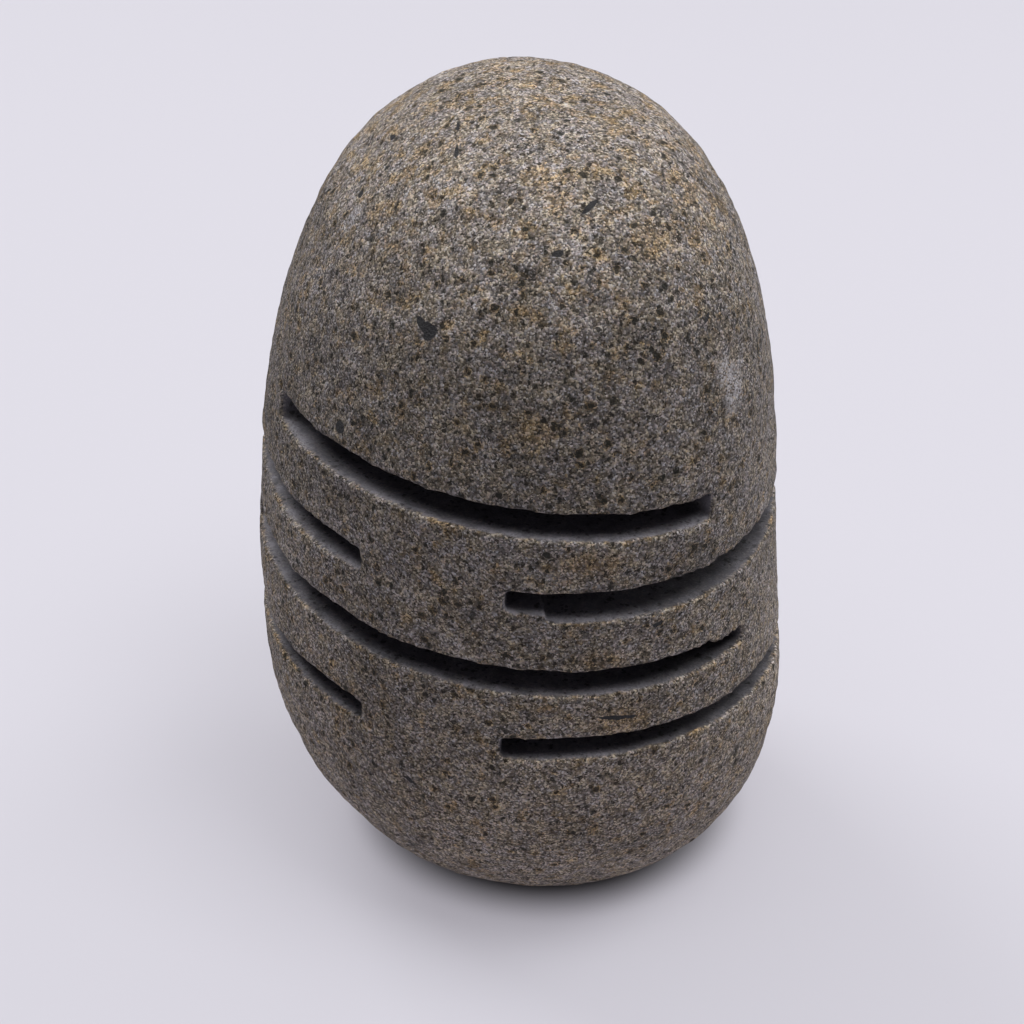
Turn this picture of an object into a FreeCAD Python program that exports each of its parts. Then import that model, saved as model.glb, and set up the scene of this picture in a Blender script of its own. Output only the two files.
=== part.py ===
"""Carved cobble: a water-worn upright stone with four rows of short, deep saw cuts around its waist.

Frame: +Z up, origin at the middle of the flat resting face, front towards -Y, the stone's right +X.
Azimuths run from the front (0) towards the stone's right (90).
"""
import FreeCAD
import Part

import math
import os

NODE = "carved_stone"
SHEET = "sizes"

# Driving dimensions: millimetres, degrees and plain ratios.
SIZES = {
    # Outline of the stone, as rings stacked on a slightly bowed middle line.
    "stone_height": 120.0,
    "belt_height": 35.2,      # where the stone is widest
    "belt_radius": 40.9,      # mean radius there
    "crown_power": 3.48,      # squareness of the shoulder
    "crown_root": 2.45,       # roundness of the top
    "sole_depth": 41.2,       # below the belt, where the lower curve would close without the flat
    "sole_power": 2.12,
    "sole_root": 2.2,
    # Each ring is an ellipse: this much longer and narrower than its mean radius.
    "oval_base": 0.006,
    "oval_gain": 0.179,       # added from the base to the top
    "oval_heading": 135.0,    # of the long axis, from +X
    # The middle line: how far it bows at mid-height, and how far the top leans.
    "bow_right": -4.7,
    "bow_back": -1.7,
    "lean_right": -0.5,
    "lean_back": 2.2,
    # Saw cuts: depth under the skin, and the reach of the cutting sector outside it.
    "cut_depth": 12.0,
    "cut_reach": 60.0,
}

# Each row of cuts: height of its floor on the middle line, width of the kerf, and how much the cut
# rises towards the stone's right and back, in degrees. Rows b and d were cut from each side alone.
# The right cut of row b starts as one pass of the saw, and a second pass below widens the rest. The
# front cut of row c ends as one pass too.
ROWS = {
    "row_a": (71.6, 4.0, -1.1, -4.0),
    "row_b_left": (62.0, 3.3, 0.0, 0.2),
    "row_b_right": (60.9, 4.6, -0.3, -0.4),
    "row_b_one_pass": (62.1, 3.3, -0.3, -0.4),
    "row_c": (49.2, 4.2, -1.8, -0.5),
    "row_c_one_pass": (49.3, 3.1, -1.8, -0.5),
    "row_d_left": (37.5, 3.2, -0.6, 0.5),
    "row_d_right": (34.9, 3.5, 1.8, -3.6),
}
ROW_FIELDS = ("floor", "kerf", "rise_right", "rise_back")

# Each cut: its row, and the azimuths where it starts and ends.
CUTS = {
    "cut_a_front": ("row_a", -56.0, 57.0),
    "cut_a_back": ("row_a", 124.0, 237.0),
    "cut_b_left": ("row_b_left", -162.0, -15.0),
    "cut_b_one_pass": ("row_b_one_pass", 18.0, 28.0),
    "cut_b_right": ("row_b_right", 25.5, 165.0),
    "cut_c_front": ("row_c", -74.0, 59.0),
    "cut_c_one_pass": ("row_c_one_pass", 58.0, 68.5),
    "cut_c_back": ("row_c", 106.0, 245.0),
    "cut_d_left": ("row_d_left", -164.0, -15.5),
    "cut_d_right": ("row_d_right", 16.0, 166.0),
}

# Rings of the outline, as angles of a quarter turn: from the belt up to the crown, and down to the base.
CROWN_ANGLES = (0, 15, 30, 45, 58, 68, 76, 82, 86, 88)
SOLE_ANGLES = (90, 75, 60, 45, 30, 15)
# The uncut core needs only the rings beside the rows of cuts.
CORE_CROWN_ANGLES = (0, 15, 30, 45)
CORE_SOLE_ANGLES = (30, 15)

# The cuts take away more than this share of the blank, or something went wrong.
LEAST_CUT = 0.03


def make_sheet(doc):
    """Put every driving dimension in the spreadsheet, one alias to a row."""
    sheet = doc.addObject("Spreadsheet::Sheet", SHEET)
    values = dict(SIZES)
    for row, numbers in ROWS.items():
        for field, number in zip(ROW_FIELDS, numbers):
            values[f"{row}_{field}"] = number
    for cut, (_, start, end) in CUTS.items():
        values[f"{cut}_start"] = start
        values[f"{cut}_end"] = end
    for line, (alias, number) in enumerate(values.items(), start=1):
        sheet.set(f"A{line}", alias)
        sheet.set(f"B{line}", f"{number}")
        sheet.setAlias(f"B{line}", alias)
    doc.recompute()
    return sheet


def crown_ring(angle):
    """Height and mean radius of a ring above the belt, as expressions."""
    rise = math.sin(math.radians(angle))
    height = f"({SHEET}.belt_height + ({SHEET}.stone_height - {SHEET}.belt_height) * {rise:.5f})"
    radius = f"({SHEET}.belt_radius * (1 - {rise:.5f} ^ {SHEET}.crown_power) ^ (1 / {SHEET}.crown_root))"
    return height, radius


def sole_ring(angle):
    """Height and mean radius of a ring below the belt, as expressions."""
    drop = math.sin(math.radians(angle))
    height = f"({SHEET}.belt_height * (1 - {drop:.5f}))"
    fall = f"({SHEET}.belt_height * {drop:.5f} / {SHEET}.sole_depth)"
    radius = f"({SHEET}.belt_radius * (1 - {fall} ^ {SHEET}.sole_power) ^ (1 / {SHEET}.sole_root))"
    return height, radius


def middle_line(height):
    """Where the stone's middle line stands at a height, as expressions for X and Y."""
    share = f"({height} / {SHEET}.stone_height)"
    swell = f"(4 * {share} * (1 - {share}))"
    right = f"({SHEET}.bow_right * {swell} + {SHEET}.lean_right * {share})"
    back = f"({SHEET}.bow_back * {swell} + {SHEET}.lean_back * {share})"
    return right, back


def make_ring(doc, name, height, radius, inset):
    """One ellipse of the outline, set in from the skin by an expression."""
    share = f"({height} / {SHEET}.stone_height)"
    oval = f"({SHEET}.oval_base + {SHEET}.oval_gain * {share})"
    right, back = middle_line(height)
    ring = doc.addObject("Part::Ellipse", name)
    ring.setExpression("MajorRadius", f"{radius} * (1 + {oval}) - {inset}")
    ring.setExpression("MinorRadius", f"{radius} * (1 - {oval}) - {inset}")
    ring.setExpression("Placement.Base.x", right)
    ring.setExpression("Placement.Base.y", back)
    ring.setExpression("Placement.Base.z", height)
    ring.setExpression("Placement.Rotation.Angle", f"{SHEET}.oval_heading")
    return ring


def make_skin(doc, name, sole_angles, crown_angles, inset):
    """A smooth solid through the rings at the given angles."""
    rings = []
    for angle in sole_angles:
        height, radius = sole_ring(angle)
        rings.append(make_ring(doc, f"{name}_sole_{angle}", height, radius, inset))
    for angle in crown_angles:
        height, radius = crown_ring(angle)
        rings.append(make_ring(doc, f"{name}_crown_{angle}", height, radius, inset))
    skin = doc.addObject("Part::Loft", name)
    skin.Sections = rings
    skin.Solid = True
    skin.Ruled = False
    return skin


def make_cut(doc, name, row):
    """The sector that one saw cut sweeps, from its row's middle line out past the skin."""
    floor = f"{SHEET}.{row}_floor"
    right, back = middle_line(floor)
    start = f"({SHEET}.{name}_start - 90)"
    rise_right = f"{SHEET}.{row}_rise_right"
    rise_back = f"{SHEET}.{row}_rise_back"
    # The row's tilt, turned into the sector's own directions.
    pitch = f"-({rise_right} * cos({start}) + {rise_back} * sin({start}))"
    roll = f"({rise_back} * cos({start}) - {rise_right} * sin({start}))"
    sector = doc.addObject("Part::Cylinder", name)
    sector.setExpression("Radius", f"{SHEET}.cut_reach")
    sector.setExpression("Height", f"{SHEET}.{row}_kerf")
    sector.setExpression("Angle", f"{SHEET}.{name}_end - {SHEET}.{name}_start")
    place = f"create(<<vector>>; {right}; {back}; {floor})"
    turn = f"create(<<rotation>>; {start}; {pitch}; {roll})"
    sector.setExpression("Placement", f"create(<<placement>>; {place}; {turn})")
    return sector


def make_stone(doc):
    """The cobble with every saw cut taken out of it down to the cut depth."""
    blank = make_skin(doc, "blank", SOLE_ANGLES, CROWN_ANGLES, "0")
    core = make_skin(doc, "core", CORE_SOLE_ANGLES, CORE_CROWN_ANGLES, f"{SHEET}.cut_depth")
    sectors = [make_cut(doc, name, row) for name, (row, _, _) in CUTS.items()]
    sweep = doc.addObject("Part::MultiFuse", "sweep")
    sweep.Shapes = sectors
    kerfs = doc.addObject("Part::Cut", "kerfs")
    kerfs.Base = sweep
    kerfs.Tool = core
    stone = doc.addObject("Part::Cut", NODE)
    stone.Base = blank
    stone.Tool = kerfs
    stone.Label = NODE
    stone.Placement = FreeCAD.Placement()
    return stone, blank


def check(doc, stone, blank):
    """Stop if any object failed, or if the cuts took nothing away."""
    for item in doc.Objects:
        if "Invalid" in item.State or "Error" in item.State:
            raise RuntimeError(f"{item.Name} did not recompute: {item.State}")
    if stone.Shape.isNull() or not stone.Shape.isValid():
        raise RuntimeError("the stone's shape is not valid")
    if len(stone.Shape.Solids) != 1:
        raise RuntimeError(f"the stone came out as {len(stone.Shape.Solids)} solids")
    if stone.Shape.Volume > (1 - LEAST_CUT) * blank.Shape.Volume:
        raise RuntimeError("the saw cuts removed too little")


def main():
    doc = FreeCAD.newDocument("carved_cobble")
    make_sheet(doc)
    stone, blank = make_stone(doc)
    doc.recompute()
    check(doc, stone, blank)
    os.makedirs("parts", exist_ok=True)
    stone.Shape.exportStep(f"parts/{stone.Label}.step")
    box = stone.Shape.BoundBox
    print(f"{stone.Label}: {box.XLength:.2f} by {box.YLength:.2f} by {box.ZLength:.2f} mm at most")
    print(f"volume {stone.Shape.Volume / 1000:.1f} cm3 of {blank.Shape.Volume / 1000:.1f} cm3")


main()
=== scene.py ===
"""Looks of the carved cobble: a grainy, water-worn skin with pale dusty saw cuts.

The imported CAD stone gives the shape. It is remeshed finely, worn and chipped here, and painted by position.
Lengths inside the stone are in millimetres until they reach Blender, which works in metres.
"""

import math

import bmesh
import bpy
import numpy as np
from mathutils import Matrix, Vector, noise
from mathutils.bvhtree import BVHTree
from mathutils.kdtree import KDTree


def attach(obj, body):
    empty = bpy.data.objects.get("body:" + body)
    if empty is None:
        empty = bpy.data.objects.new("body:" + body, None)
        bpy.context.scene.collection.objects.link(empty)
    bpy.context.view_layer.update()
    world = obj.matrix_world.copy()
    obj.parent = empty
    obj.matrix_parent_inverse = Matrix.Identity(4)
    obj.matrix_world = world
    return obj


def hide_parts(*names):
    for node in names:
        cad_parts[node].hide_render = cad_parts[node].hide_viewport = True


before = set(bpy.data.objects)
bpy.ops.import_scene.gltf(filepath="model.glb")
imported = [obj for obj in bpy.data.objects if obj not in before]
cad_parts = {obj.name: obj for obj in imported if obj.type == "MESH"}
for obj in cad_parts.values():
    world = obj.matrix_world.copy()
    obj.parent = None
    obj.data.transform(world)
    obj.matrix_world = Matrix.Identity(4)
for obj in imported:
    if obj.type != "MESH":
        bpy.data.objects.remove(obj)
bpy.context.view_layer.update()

NODE = "carved_stone"
MM = 0.001

# Shape. A fade is a pair of numbers: something starts to change at the first and has changed at the second.
GRID = 0.5                   # of the remeshed skin
WELD_DISTANCE = 0.001
GRID_SOFTENING = 0.5
CUT_STARTS = 0.45            # deeper under the stone's hull than this, a point lies in a saw cut
CUT_FADE = (0.225, 0.675)    # depths where the skin turns into a sawn face
RIM_BAND = 0.7               # the rim of a cut is what lies less than this deep in it
LEDGE_TILT = 0.3             # the lower face of a cut points up by more than this
FOOT_HEIGHT = 1.5            # below this the wear fades out, so that the base stays flat

# Layers of noise on the skin: size of the features, how far they rise, and an offset that sets each apart.
LUMPS = (13.0, 0.34, 3.1)
DIMPLES = (4.0, 0.17, 11.7)
GRIT = (1.6, 0.13, 23.9)
GRIT_IN_CUTS = 0.35          # share of the grit that the sawn faces keep
NOISE_SLANT = 0.7            # the offsets run along a slanting line through the noise
PIT_SIZE, PIT_REACH, PIT_DEPTH = 2.6, 0.36, 0.36
PIT_SHUFFLE, PIT_CHOICE = 7.3, 0.35    # a cell has a pit where its random number is above the second

# Edges of the cuts: chips, rounding, and how they wander up and down.
CHIP_SIZE, CHIP_OFFSET = 2.0, 41.3
CHIP_FADE = (0.2, 0.6)       # values of the noise where chips start and are whole
LOWER_CHIP, UPPER_CHIP = 0.30, 0.08
LIP_ROUNDING = 0.06
LIP_FADE = (0.2, 1.2)        # distances from the edge, as the next two fades are
RAGGED_FADE = (0.3, 2.0)
SOFT_FADE = (0.4, 1.2)
RAGGED_WAVES = ((3.0, 0.20, 57.1), (1.2, 0.24, 63.7))
EDGE_SOFTENING, EDGE_ROUNDS = 0.5, 2
DUSTY_LEDGE, DUSTY_SKIN = 2.4, 0.5   # how far saw dust and bruises go from a lower lip, in and out
DUSTY_FADE = (0.3, 1.0)

# Camera: azimuth and elevation in degrees, the rest in millimetres.
CAMERA_AZIMUTH = 20.0
CAMERA_ELEVATION = 31.9
CAMERA_DISTANCE = 409.0
CAMERA_LENS = 95.3
CAMERA_SENSOR = 36.0
AIM = (-5.4, -0.8, 52.2)

# Light: azimuth from the front, elevation, size in metres, power in watts.
LAMP_DISTANCE = 1.0
LAMP_AIM = (0.0, 0.0, 0.05)
LAMP_COLOUR = (1.0, 1.0, 1.0)
LAMPS = (
    ("overhead", 0.0, 89.0, 1.1, 7.8),
    ("right", 80.0, 68.0, 0.45, 4.0),
    ("left_back", 245.0, 45.0, 0.45, 5.0),
    ("right_back", 140.0, 20.0, 0.45, 4.0),
)
SKY_COLOUR = (0.95, 0.95, 1.0, 1.0)
SKY_STRENGTH = 0.03

# The pale table glows a little, a painted light that also lights the stone. The glow fades out round the
# stone's foot, which paints its contact shadow.
FLOOR_HALF = 4.0             # metres
FLOOR_COLOUR = (0.298, 0.295, 0.320, 1.0)
FLOOR_ROUGHNESS = 0.75
FLOOR_GLOW_COLOUR = (0.98, 0.942, 1.054, 1.0)
FLOOR_GLOW = 0.345
# nearer the stone's middle than these, the glow fades into a painted contact shadow
GLOW_STARTS, GLOW_FULL = 22.5, 33.0    # distance from the stone's middle

# Grain: sizes in millimetres, colours in linear light.
FINE_GRAIN, COARSE_GRAIN, GRAIN_RELIEF = 0.25, 0.52, 0.12
FINE_SHARE, COARSE_SHARE = 0.80, 0.20
FINE_DOME, FINE_LIFT, COARSE_DOME = -0.8, 0.5, 0.6
GRAIN_TONES = (
    (0.05, (0.032, 0.0285, 0.026)),
    (0.28, (0.080, 0.072, 0.067)),
    (0.50, (0.136, 0.123, 0.116)),
    (0.70, (0.230, 0.209, 0.200)),
    (0.95, (0.435, 0.405, 0.397)),
)
GRAIN_TINTS = (
    (0.00, (1.05, 0.98, 0.96)),
    (0.35, (1.00, 1.00, 1.00)),
    (0.60, (1.03, 1.00, 0.90)),
    (0.85, (0.95, 0.99, 1.05)),
)

# Clouds: size, detail and roughness of the noise; the pairs are where it fades, and from what to what.
PATCH_CLOUD = (5.0, 2.0, 0.5)
PATCH_SWING = (-0.05, 0.05)
DRIFT_CLOUD = (17.0, 2.0, 0.5)
DRIFT_SWING = (-0.04, 0.04)
TONE_FADE = (0.3, 0.7)
WARM_CLOUD = (1.9, 3.0, 0.65)
WARM_FADE = (0.40, 0.62)
WARM_TINT = (1.06, 1.00, 0.85, 1.0)
COOL_TINT = (0.98, 0.985, 1.03, 1.0)

# The places of specks, stains and marks are pushed about, so that their outlines are not smooth.
JITTER_SCALE, JITTER_DETAIL = 1.3, 1.0
RAGGED_PUSH, GENTLE_PUSH = 1.2, 0.45

# Dark flecks and smaller specks. They crowd together in places.
FLECK_SPACING, SPECK_SPACING = 1.7, 0.95
CROWD_CLOUD = (7.0, 2.0, 0.5)
CROWD_FADE, CROWD_SWING = (0.35, 0.65), (-0.25, 0.25)
FLECK_CHOICE = (0.44, 0.48)
FLECK_REACH = (0.10, 0.28)
FLECK_RAGGED = (-0.10, 0.10)
FLECK_EDGE = (-0.02, 0.02)
FLECK_STRENGTH = 0.95
SPECK_CHOICE = (0.68, 0.70)
SPECK_EDGE = (0.36, 0.28)
SPECK_STRENGTH = 0.85
DARK_BROWN = (0.017, 0.012, 0.008, 1.0)
DARK_OLIVE = (0.014, 0.014, 0.011, 1.0)

# Ochre stain: in clouds, round some of the flecks, in the marks below, and more of it on the crown.
OCHRE_TINT = (1.09, 0.86, 0.50, 1.0)
STAIN_CLOUD = (3.0, 3.0, 0.6)
STAIN_FADE, STAIN_STRENGTH = (0.58, 0.70), 0.75
HALO_CHOICE = (0.45, 0.6)
HALO_FADE, HALO_STRENGTH = (0.30, 0.0), 0.8
OCHRE_SOFTNESS, OCHRE_STRENGTH = 0.7, 0.7
STAIN_GRAIN_FADE, STAIN_GRAIN_SHARE = (0.1, 0.5), (0.45, 0.95)
CROWN_STAIN_TILT, CROWN_STAIN = (0.15, 0.75), (0.0, 0.08)

# Tone by height: the waist darker and the foot paler. The upward faces of the crown are brightened, a painted
# sheen.
SHEEN_TILT, PAINTED_SHEEN_GAIN = (0.35, 0.85), (1.0, 1.46)
WAIST_TO_FOOT = (75.0, 15.0)
WAIST_TINT = (0.94, 0.94, 0.935, 1.0)
FOOT_TINT = (1.26, 1.22, 1.14, 1.0)

# Pale bruises and dark clasts.
PALE_BRUISE = (0.50, 0.48, 0.50, 1.0)
PALE_SOFTNESS, PALE_STRENGTH = 0.6, 0.8
PALE_GRAIN_FADE = (0.2, 0.8)
DARK_CLAST = (0.030, 0.029, 0.031, 1.0)
DARK_SOFTNESS = 0.12

# Sawn faces: towards the stone's right the lower cuts are darker, a painted shade, and carry less dust.
SAWN_GREY = (0.195, 0.190, 0.220, 1.0)
SAWN_STRENGTH = 0.74
SAWN_CLOUD, SAWN_FADE = (3.6, 3.0, 0.6), (0.36, 0.64)
SAWN_SHADE = (0.70, 0.70, 0.70, 1.0)
SAWN_LIGHT = (1.02, 1.02, 1.02, 1.0)
SAWN_FLECKS = 0.7
# where the painted shade on the lower cuts falls, how dark it is, and how much dust it leaves
SHADE_RIGHT_FADE, SHADE_BELOW_FADE = (17.0, 31.0), (68.0, 64.0)
PAINTED_SHADE_TINT = (0.56, 0.56, 0.56, 1.0)
DUST_UNDER_SHADE = (1.0, 0.4)
DUST = (0.34, 0.325, 0.36, 1.0)
DUST_GRAIN_FADE, DUST_GRAIN_SHARE = (0.1, 0.7), (0.2, 1.0)
DUST_CLOUD = (3.4, 2.0, 0.5)
DUST_FADE, DUST_SHARE = (0.40, 0.64), (0.0, 0.6)

# Gloss and bump.
SPECULAR_LEVEL = 0.2
STONE_IOR = 1.5
STONE_ROUGHNESS = (0.62, 0.9)
BUMP_STRENGTH = (0.9, 0.2)   # on the skin, and on a sawn face
FLECK_HOLLOW, CLAST_HOLLOW = 0.9, 0.8

# Marks that this stone carries: azimuth from the front, height, turn of the long side, half its length,
# half its width. They are found along rays from well outside the stone, and reach only a little into it.
RAY_START = 200.0
MARK_DEPTH = 1.2
DARK_MARKS = (
    (-13.6, 98.6, -31, 1.3, 0.60),
    (-10.6, 98.0, 61, 1.35, 0.90),
    (-11.9, 98.4, 0, 1.0, 0.85),
    (-32.0, 80.8, 0, 1.0, 0.9),
    (32.3, 114.2, 48, 1.5, 0.40),
    (-36.1, 115.7, -40, 1.2, 0.3),
    (-54.1, 117.1, -30, 1.0, 0.3),
    (-78.8, 112.5, 10, 0.8, 0.5),
    (-64.7, 106.5, 0, 0.8, 0.6),
    (56.0, 100.5, 30, 0.9, 0.35),
    (21.3, 109.8, 20, 0.8, 0.5),
    (33.0, 44.6, -8, 3.0, 0.34),
    (40.6, 59.0, 10, 0.85, 0.35),
    (-8.8, 30.1, -20, 1.0, 0.4),
)
OCHRE_MARKS = (
    (16.5, 89.4, 0, 3.0, 2.0),
    (48.2, 110.5, 0, 3.4, 2.2),
    (27.0, 70.4, 0, 5.0, 1.6),
    (29.2, 54.8, 0, 3.5, 1.3),
    (33.5, 43.9, 0, 4.6, 2.2),
)
PALE_MARKS = (
    (61.5, 90.0, 75, 3.2, 2.0),
    (58.9, 93.0, 60, 2.0, 1.2),
    (-60.0, 104.0, 70, 2.6, 1.2),
)


# ---------------------------------------------------------------- shape

def smooth_step(fade, values):
    """Smoothly from nothing at the first number of the fade to one at the second."""
    low, high = fade
    share = np.clip((values - low) / (high - low), 0.0, 1.0)
    return share * share * (3.0 - 2.0 * share)


def fading(fade, values):
    """Smoothly from one at the first number of the fade to nothing at the second."""
    return 1.0 - smooth_step(fade, values)


def read_points(mesh):
    flat = np.empty(len(mesh.vertices) * 3)
    mesh.vertices.foreach_get("co", flat)
    return flat.reshape(-1, 3) / MM


def read_normals(mesh):
    flat = np.empty(len(mesh.vertices) * 3)
    mesh.vertices.foreach_get("normal", flat)
    return flat.reshape(-1, 3)


def write_points(mesh, points):
    mesh.vertices.foreach_set("co", (points * MM).astype(np.float32).ravel())
    mesh.update()


def write_values(mesh, name, values):
    layer = mesh.attributes.new(name, "FLOAT", "POINT")
    layer.data.foreach_set("value", values.astype(np.float32))


def noise_at(points, size, offset):
    """Smooth noise from -1 to 1 with features about this many millimetres across."""
    shift = Vector((offset, offset * NOISE_SLANT, -offset))
    return np.array([noise.noise(Vector(point) / size + shift) for point in points])


def relief_at(points, layer):
    size, rise, offset = layer
    return rise * noise_at(points, size, offset)


def pits_at(points):
    """One where a pit is deepest, on some of the cells of a random mosaic."""
    depth = np.zeros(len(points))
    for index, point in enumerate(points):
        distances, centres = noise.voronoi(Vector(point) / PIT_SIZE)
        chosen = noise.cell(centres[0] * PIT_SHUFFLE) > PIT_CHOICE
        if chosen and distances[0] < PIT_REACH:
            depth[index] = 1.0 - distances[0] / PIT_REACH
    return depth


def fine_copy(cad):
    """The CAD stone on an even fine grid, as a new object."""
    mesh = cad.data.copy()
    piece = bpy.data.objects.new("stone_body", mesh)
    bpy.context.scene.collection.objects.link(piece)
    build = bmesh.new()
    build.from_mesh(mesh)
    bmesh.ops.remove_doubles(build, verts=build.verts, dist=WELD_DISTANCE * MM)
    build.to_mesh(mesh)
    build.free()
    remesh = piece.modifiers.new("fine_grid", "REMESH")
    remesh.mode = "VOXEL"
    remesh.voxel_size = GRID * MM
    soften = piece.modifiers.new("soften", "SMOOTH")
    soften.factor = GRID_SOFTENING
    soften.iterations = 1
    snap = piece.modifiers.new("snap_to_cad", "SHRINKWRAP")
    snap.target = cad
    snap.wrap_method = "NEAREST_SURFACEPOINT"
    state = bpy.context.evaluated_depsgraph_get()
    fine = bpy.data.meshes.new_from_object(piece.evaluated_get(state), depsgraph=state)
    piece.modifiers.clear()
    piece.data = fine
    return piece


def hull_of(points):
    """A tree of the stone's convex hull, which is its skin as it was before the cuts."""
    build = bmesh.new()
    for point in points:
        build.verts.new(point)
    made = bmesh.ops.convex_hull(build, input=build.verts)
    loose = [item for item in made["geom_interior"] if isinstance(item, bmesh.types.BMVert)]
    bmesh.ops.delete(build, geom=loose, context="VERTS")
    tree = BVHTree.FromBMesh(build)
    build.free()
    return tree


def depth_under(hull, points):
    return np.array([hull.find_nearest(Vector(point))[3] for point in points])


def gap_to(targets, points):
    """Distance to the nearest target, and how much lower than it each point lies."""
    tree = KDTree(len(targets))
    for index, target in enumerate(targets):
        tree.insert(Vector(target), index)
    tree.balance()
    gap = np.empty(len(points))
    below = np.empty(len(points))
    for index, point in enumerate(points):
        nearest, _, distance = tree.find(Vector(point))
        gap[index] = distance
        below[index] = nearest.z - point[2]
    return gap, below


def softened(mesh, points, share):
    """The points, pulled by their share of the way towards the middle of their neighbours."""
    ends = np.empty(len(mesh.edges) * 2, dtype=np.int32)
    mesh.edges.foreach_get("vertices", ends)
    ends = ends.reshape(-1, 2)
    own, other = np.vstack([ends, ends[:, ::-1]]).T
    many = len(points)
    count = np.bincount(own, minlength=many)
    for _ in range(EDGE_ROUNDS):
        totals = [np.bincount(own, weights=points[other, axis], minlength=many) for axis in range(3)]
        middle = np.column_stack(totals) / count[:, None]
        points = points + share[:, None] * (middle - points)
    return points


def skin_relief(points, skin_share):
    """How far the lumps, dimples, grit and pits move each point out of the stone."""
    rise = (relief_at(points, LUMPS) + relief_at(points, DIMPLES)) * skin_share
    rise += relief_at(points, GRIT) * (GRIT_IN_CUTS + (1.0 - GRIT_IN_CUTS) * skin_share)
    rise -= PIT_DEPTH * pits_at(points) * skin_share
    return rise


def lip_loss(points, lower, gap):
    """How much the chips and the rounding take off along the edges of the cuts."""
    chips = smooth_step(CHIP_FADE, noise_at(points, CHIP_SIZE, CHIP_OFFSET))
    worn = np.where(lower, LIP_ROUNDING + LOWER_CHIP * chips, UPPER_CHIP * chips)
    return worn * fading(LIP_FADE, gap)


def wear(piece, hull):
    """Move the points of the skin, and note on each how sawn and how dusty it is."""
    mesh = piece.data
    points = read_points(mesh)
    normals = read_normals(mesh)
    depth = depth_under(hull, points)
    in_cut = depth > CUT_STARTS
    rim = points[in_cut & (depth < CUT_STARTS + RIM_BAND)]
    rim_gap, below = gap_to(rim, points)
    skin_gap, _ = gap_to(points[~in_cut], points)
    gap = np.where(in_cut, skin_gap, rim_gap)
    lower = np.where(in_cut, normals[:, 2] > LEDGE_TILT, below > 0.0)
    skin_share = fading(CUT_FADE, depth)

    rise = skin_relief(points, skin_share) - lip_loss(points, lower, gap) * skin_share
    rise *= smooth_step((0.0, FOOT_HEIGHT), points[:, 2])
    worn_points = points + normals * rise[:, None]
    for wave in RAGGED_WAVES:
        worn_points[:, 2] += relief_at(points, wave) * fading(RAGGED_FADE, gap)
    edge_share = EDGE_SOFTENING * fading(SOFT_FADE, gap)
    write_points(mesh, softened(mesh, worn_points, edge_share))

    write_values(mesh, "cut_share", 1.0 - skin_share)
    dusty_reach = np.where(in_cut, DUSTY_LEDGE, DUSTY_SKIN)
    write_values(mesh, "dusty_lip", lower * fading(DUSTY_FADE, gap / dusty_reach))


# ---------------------------------------------------------------- materials

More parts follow.
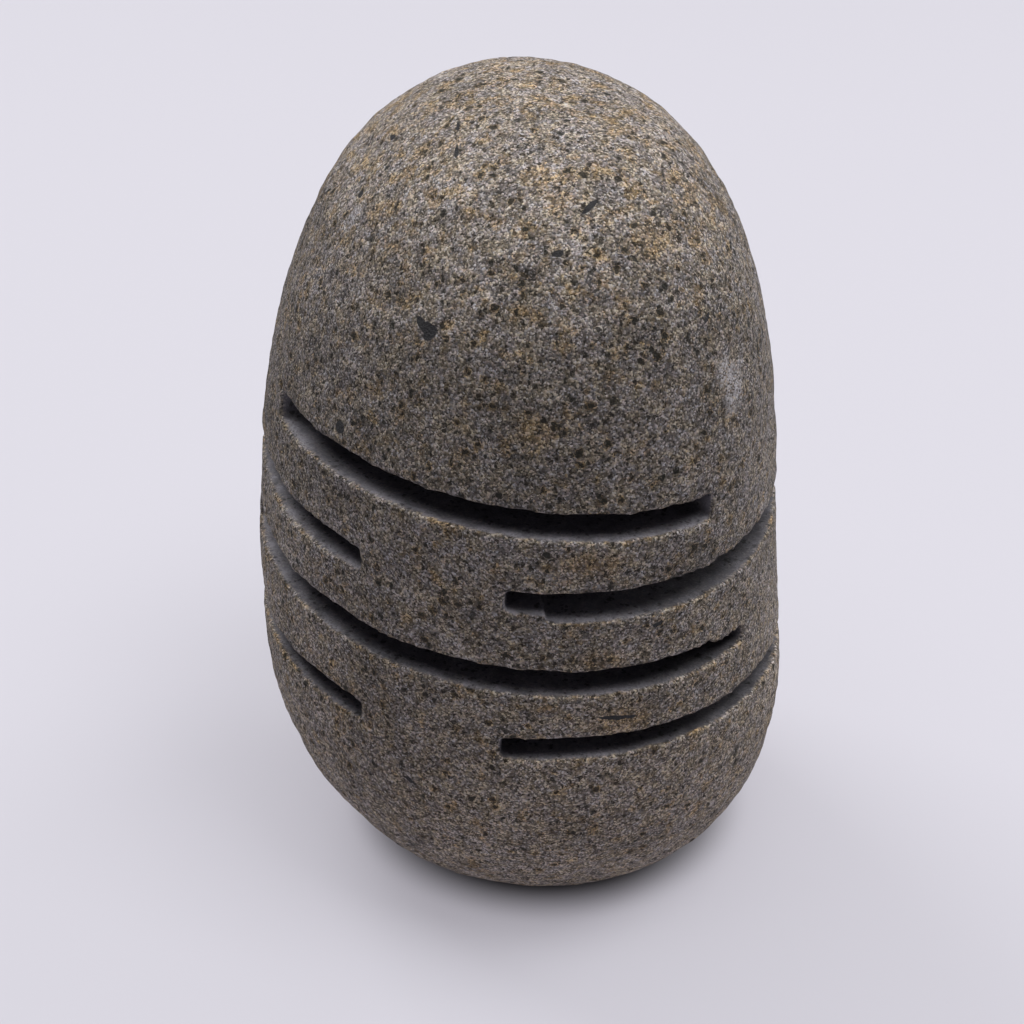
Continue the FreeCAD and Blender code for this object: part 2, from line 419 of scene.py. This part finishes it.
class Graph:
    """Short calls that add the nodes of one material."""

    def __init__(self, name):
        self.material = bpy.data.materials.new(name)
        self.material.use_nodes = True
        self.tree = self.material.node_tree
        self.shader = self.tree.nodes["Principled BSDF"]

    def set_input(self, socket, value):
        if isinstance(value, bpy.types.NodeSocket):
            self.tree.links.new(value, socket)
        else:
            socket.default_value = value

    def add(self, kind, inputs=(), **settings):
        node = self.tree.nodes.new(f"ShaderNode{kind}")
        for key, value in settings.items():
            setattr(node, key, value)
        for name, value in dict(inputs).items():
            self.set_input(node.inputs[name], value)
        return node

    def maths(self, operation, first, second):
        return self.add("Math", {0: first, 1: second}, operation=operation).outputs[0]

    def plus(self, first, second):
        return self.maths("ADD", first, second)

    def minus(self, first, second):
        return self.maths("SUBTRACT", first, second)

    def times(self, first, second):
        return self.maths("MULTIPLY", first, second)

    def larger(self, first, second):
        return self.maths("MAXIMUM", first, second)

    def scaled(self, vector, factor):
        return self.add("VectorMath", {0: vector, "Scale": factor}, operation="SCALE").outputs[0]

    def length(self, vector):
        return self.add("VectorMath", {0: vector}, operation="LENGTH").outputs["Value"]

    def parts(self, vector):
        return self.add("SeparateXYZ", {0: vector}).outputs

    def span(self, value, fade, to=(0.0, 1.0)):
        """Smoothly from one of the two values to the other, as the fade goes."""
        inputs = {"Value": value, "From Min": fade[0], "From Max": fade[1], "To Min": to[0], "To Max": to[1]}
        return self.add("MapRange", inputs, interpolation_type="SMOOTHSTEP").outputs[0]

    def swing(self, value, to):
        """A share from 0 to 1, turned into a number between the two values."""
        return self.span(value, (0.0, 1.0), to)

    def blend(self, share, low, high, mode="MIX"):
        node = self.add("Mix", {"Factor": share}, data_type="RGBA", blend_type=mode)
        self.set_input(node.inputs[6], low)
        self.set_input(node.inputs[7], high)
        return node.outputs[2]

    def tinted(self, colour, tint):
        return self.blend(1.0, colour, tint, "MULTIPLY")

    def ramp(self, value, stops, between="LINEAR"):
        node = self.add("ValToRGB", {"Fac": value})
        node.color_ramp.interpolation = between
        elements = node.color_ramp.elements
        while len(elements) < len(stops):
            elements.new(0.5)
        for element, (place, colour) in zip(elements, stops):
            element.position = place
            element.color = (*colour, 1.0)
        return node.outputs["Color"]

    def cells(self, coords, size):
        """A mosaic of grains: each grain's own random numbers, and the distance from its middle."""
        node = self.add("TexVoronoi", {"Vector": coords, "Scale": 1.0 / size}, feature="F1")
        return self.add("SeparateColor", {"Color": node.outputs["Color"]}).outputs, node.outputs["Distance"]

    def cloud(self, coords, kind):
        size, detail, rough = kind
        inputs = {"Vector": coords, "Scale": 1.0 / size, "Detail": detail, "Roughness": rough}
        return self.add("TexNoise", inputs).outputs["Fac"]

    def jitter(self, coords):
        """A random push, about nothing on each axis."""
        inputs = {"Vector": coords, "Scale": JITTER_SCALE, "Detail": JITTER_DETAIL}
        colour = self.add("TexNoise", inputs).outputs["Color"]
        return self.add("VectorMath", {0: colour, 1: (0.5, 0.5, 0.5)}, operation="SUBTRACT").outputs[0]

    def pushed(self, coords, jitter, push):
        inputs = {0: jitter, 1: (push, push, push), 2: coords}
        return self.add("VectorMath", inputs, operation="MULTIPLY_ADD").outputs[0]

    def stored(self, name):
        return self.add("Attribute", attribute_name=name).outputs["Fac"]


def place_mark(hull, mark):
    """Centre of a mark on the stone, and a frame whose X runs along the mark and Z out of the skin."""
    azimuth, height, turn, half_length, half_width = mark
    heading = math.radians(azimuth)
    outward = Vector((math.sin(heading), -math.cos(heading), 0.0))
    start = outward * RAY_START + Vector((0.0, 0.0, height))
    spot, normal, _, _ = hull.ray_cast(start, -outward)
    side = Vector((0.0, 0.0, 1.0)).cross(normal).normalized()
    up = normal.cross(side)
    frame_turn = Matrix((side, up, normal)).transposed() @ Matrix.Rotation(math.radians(turn), 3, "Z")
    return spot, frame_turn.to_euler(), (half_length, half_width, MARK_DEPTH)


def marks_share(graph, coords, hull, marks, soft):
    """One inside any of the marks, with edges this soft, as a share of their size."""
    total = None
    for mark in marks:
        centre, turn, size = place_mark(hull, mark)
        inputs = {"Vector": coords, "Location": centre, "Rotation": turn, "Scale": size}
        local = graph.add("Mapping", inputs, vector_type="TEXTURE").outputs[0]
        inside = graph.span(graph.length(local), (1.0 + soft, 1.0 - soft))
        total = inside if total is None else graph.larger(total, inside)
    return total


def grain_colour(graph, coords, ragged):
    """Salt-and-pepper sand grains in two sizes: their colour, their relief, and the fine ones' numbers."""
    fine, fine_gap = graph.cells(coords, FINE_GRAIN)
    coarse, coarse_gap = graph.cells(coords, COARSE_GRAIN)
    tone = graph.plus(graph.times(fine[0], FINE_SHARE), graph.times(coarse[0], COARSE_SHARE))
    tone = graph.plus(tone, graph.span(graph.cloud(coords, PATCH_CLOUD), TONE_FADE, PATCH_SWING))
    tone = graph.plus(tone, graph.span(graph.cloud(ragged, DRIFT_CLOUD), TONE_FADE, DRIFT_SWING))
    colour = graph.tinted(graph.ramp(tone, GRAIN_TONES), graph.ramp(fine[1], GRAIN_TINTS, "CONSTANT"))
    warmth = graph.span(graph.cloud(ragged, WARM_CLOUD), WARM_FADE)
    colour = graph.tinted(colour, graph.blend(warmth, COOL_TINT, WARM_TINT))
    relief = graph.plus(graph.times(fine_gap, FINE_DOME), graph.times(fine[0], FINE_LIFT))
    relief = graph.minus(relief, graph.times(coarse_gap, COARSE_DOME))
    return colour, relief, fine


def fleck_shapes(graph, coords, ragged, fine):
    """Dark flecks with ragged outlines, how ochre it is round each, and each one's random number."""
    flecks, gap = graph.cells(ragged, FLECK_SPACING)
    crowd = graph.span(graph.cloud(coords, CROWD_CLOUD), CROWD_FADE, CROWD_SWING)
    chosen = graph.span(graph.plus(flecks[0], crowd), FLECK_CHOICE)
    reach = graph.plus(graph.swing(flecks[1], FLECK_REACH), graph.swing(fine[0], FLECK_RAGGED))
    spot = graph.times(graph.span(graph.minus(reach, gap), FLECK_EDGE), chosen)
    halo = graph.times(graph.span(graph.minus(gap, reach), HALO_FADE), chosen)
    halo = graph.times(halo, graph.span(flecks[2], HALO_CHOICE))
    return spot, halo, flecks[1]


def add_stains(graph, skin, coords, ragged, hull, fine, crown):
    """Ochre stain and dark olive grains; returns the colour and how dark-grained each place is."""
    fleck, halo, number = fleck_shapes(graph, coords, ragged, fine)
    specks, speck_gap = graph.cells(ragged, SPECK_SPACING)
    speck = graph.times(graph.span(speck_gap, SPECK_EDGE), graph.span(specks[0], SPECK_CHOICE))
    stain = graph.span(graph.plus(graph.cloud(ragged, STAIN_CLOUD), crown), STAIN_FADE)
    stain = graph.larger(graph.times(stain, STAIN_STRENGTH), graph.times(halo, HALO_STRENGTH))
    patches = marks_share(graph, ragged, hull, OCHRE_MARKS, OCHRE_SOFTNESS)
    stain = graph.larger(stain, graph.times(patches, OCHRE_STRENGTH))
    stain = graph.times(stain, graph.span(fine[2], STAIN_GRAIN_FADE, STAIN_GRAIN_SHARE))
    skin = graph.blend(stain, skin, graph.tinted(skin, OCHRE_TINT))
    spot = graph.larger(graph.times(fleck, FLECK_STRENGTH), graph.times(speck, SPECK_STRENGTH))
    skin = graph.blend(spot, skin, graph.blend(number, DARK_BROWN, DARK_OLIVE))
    return skin, spot


def height_tint_and_sheen(graph, skin, facing_up, height):
    """The skin, darker at the waist, paler at the foot, and brightened on the upward faces, a painted sheen.
    """
    toward_foot = graph.span(height, WAIST_TO_FOOT)
    skin = graph.tinted(skin, graph.blend(toward_foot, WAIST_TINT, FOOT_TINT))
    # painted sheen: the faces that point up are made brighter
    return graph.scaled(skin, graph.span(facing_up, SHEEN_TILT, PAINTED_SHEEN_GAIN))


def sawn_colour(graph, grain, spot, ragged, right_shade):
    """Sawn faces: smoother and lilac grey, with the grain still showing, and painted shade on the lower cuts
    to the right.
    """
    sawn = graph.blend(SAWN_STRENGTH, grain, SAWN_GREY)
    shade = graph.span(graph.cloud(ragged, SAWN_CLOUD), SAWN_FADE)
    sawn = graph.tinted(sawn, graph.blend(shade, SAWN_SHADE, SAWN_LIGHT))
    sawn = graph.blend(right_shade, sawn, graph.tinted(sawn, PAINTED_SHADE_TINT))
    return graph.blend(graph.times(spot, SAWN_FLECKS), sawn, DARK_OLIVE)


def dust_share(graph, coords, fine, right_shade):
    """How thick the dust is on the lower lips of the cuts; thinner under the painted shade to the right."""
    dust = graph.times(graph.stored("dusty_lip"), graph.span(fine[2], DUST_GRAIN_FADE, DUST_GRAIN_SHARE))
    dust = graph.times(dust, graph.span(graph.cloud(coords, DUST_CLOUD), DUST_FADE, DUST_SHARE))
    return graph.times(dust, graph.swing(right_shade, DUST_UNDER_SHADE))


def stone_material(hull):
    graph = Graph("stone_skin")
    coords = graph.scaled(graph.add("TexCoord").outputs["Object"], 1.0 / MM)
    jitter = graph.jitter(coords)
    ragged = graph.pushed(coords, jitter, RAGGED_PUSH)
    gentle = graph.pushed(coords, jitter, GENTLE_PUSH)
    right, _, height = graph.parts(coords)
    facing_up = graph.parts(graph.add("NewGeometry").outputs["Normal"])["Z"]

    grain, relief, fine = grain_colour(graph, coords, ragged)
    crown = graph.span(facing_up, CROWN_STAIN_TILT, CROWN_STAIN)
    skin, spot = add_stains(graph, grain, coords, ragged, hull, fine, crown)
    pale = marks_share(graph, ragged, hull, PALE_MARKS, PALE_SOFTNESS)
    pale = graph.times(pale, graph.span(fine[1], PALE_GRAIN_FADE))
    skin = graph.blend(graph.times(pale, PALE_STRENGTH), skin, PALE_BRUISE)
    skin = height_tint_and_sheen(graph, skin, facing_up, height)
    dark = marks_share(graph, gentle, hull, DARK_MARKS, DARK_SOFTNESS)
    skin = graph.blend(dark, skin, DARK_CLAST)

    # painted shade: the lower cuts darken towards the stone's right
    right_shade = graph.times(graph.span(right, SHADE_RIGHT_FADE), graph.span(height, SHADE_BELOW_FADE))
    sawn = sawn_colour(graph, grain, spot, ragged, right_shade)
    colour = graph.blend(graph.stored("cut_share"), skin, sawn)
    colour = graph.blend(dust_share(graph, coords, fine, right_shade), colour, DUST)
    graph.set_input(graph.shader.inputs["Base Color"], colour)

    graph.set_input(graph.shader.inputs["Roughness"], graph.swing(fine[2], STONE_ROUGHNESS))
    graph.shader.inputs["IOR"].default_value = STONE_IOR
    graph.shader.inputs["Specular IOR Level"].default_value = SPECULAR_LEVEL
    relief = graph.minus(relief, graph.times(spot, FLECK_HOLLOW))
    relief = graph.minus(relief, graph.times(dark, CLAST_HOLLOW))
    strength = graph.swing(graph.stored("cut_share"), BUMP_STRENGTH)
    bump = graph.add("Bump", {"Height": relief, "Strength": strength, "Distance": GRAIN_RELIEF * MM})
    graph.set_input(graph.shader.inputs["Normal"], bump.outputs[0])
    return graph.material


def floor_material():
    graph = Graph("studio_floor")
    graph.shader.inputs["Base Color"].default_value = FLOOR_COLOUR
    graph.shader.inputs["Roughness"].default_value = FLOOR_ROUGHNESS
    graph.shader.inputs["Specular IOR Level"].default_value = SPECULAR_LEVEL
    graph.shader.inputs["Emission Color"].default_value = FLOOR_GLOW_COLOUR
    # Glow by distance from the stone's middle: none near its foot, a painted contact shadow.
    away = graph.length(graph.add("TexCoord").outputs["Object"])
    glow = graph.span(away, (GLOW_STARTS * MM, GLOW_FULL * MM), (0.0, FLOOR_GLOW))
    graph.set_input(graph.shader.inputs["Emission Strength"], glow)
    return graph.material


# ---------------------------------------------------------------- stage

def make_stone():
    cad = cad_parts[NODE]
    piece = fine_copy(cad)
    hull = hull_of(read_points(cad.data))
    wear(piece, hull)
    piece.data.materials.clear()
    piece.data.materials.append(stone_material(hull))
    piece.data.polygons.foreach_set("use_smooth", [True] * len(piece.data.polygons))
    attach(piece, "root")
    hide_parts(NODE)


def make_floor():
    mesh = bpy.data.meshes.new("studio_floor")
    half = FLOOR_HALF
    corners = [(-half, -half, 0), (half, -half, 0), (half, half, 0), (-half, half, 0)]
    mesh.from_pydata(corners, [], [(0, 1, 2, 3)])
    mesh.materials.append(floor_material())
    floor = bpy.data.objects.new("studio_floor", mesh)
    bpy.context.scene.collection.objects.link(floor)


def aimed(name, data, place, aim):
    """A lamp or camera at this place, looking at this point."""
    item = bpy.data.objects.new(name, data)
    item.location = place
    item.rotation_mode = "QUATERNION"
    item.rotation_quaternion = (aim - place).to_track_quat("-Z", "Y")
    bpy.context.scene.collection.objects.link(item)
    return item


def from_angle(azimuth, elevation, distance, centre):
    """The point that lies this far from the centre, where azimuth 0 is straight in front."""
    turn, lift = math.radians(azimuth), math.radians(elevation)
    level = math.cos(lift)
    away = Vector((math.sin(turn) * level, -math.cos(turn) * level, math.sin(lift)))
    return centre + away * distance


def make_camera():
    data = bpy.data.cameras.new("photo_camera")
    data.lens = CAMERA_LENS
    data.sensor_width = CAMERA_SENSOR
    aim = Vector(AIM) * MM
    place = from_angle(CAMERA_AZIMUTH, CAMERA_ELEVATION, CAMERA_DISTANCE * MM, aim)
    bpy.context.scene.camera = aimed("photo_camera", data, place, aim)


def make_lamp(name, azimuth, elevation, size, power):
    data = bpy.data.lights.new(name, "AREA")
    data.shape = "SQUARE"
    data.size = size
    data.energy = power
    data.color = LAMP_COLOUR
    aim = Vector(LAMP_AIM)
    aimed(name, data, from_angle(azimuth, elevation, LAMP_DISTANCE, aim), aim)


def make_light():
    world = bpy.data.worlds.new("studio")
    world.use_nodes = True
    sky = world.node_tree.nodes["Background"]
    sky.inputs["Color"].default_value = SKY_COLOUR
    sky.inputs["Strength"].default_value = SKY_STRENGTH
    bpy.context.scene.world = world
    for lamp in LAMPS:
        make_lamp(*lamp)


bpy.context.scene.view_settings.view_transform = "Standard"
make_stone()
make_floor()
make_camera()
make_light()
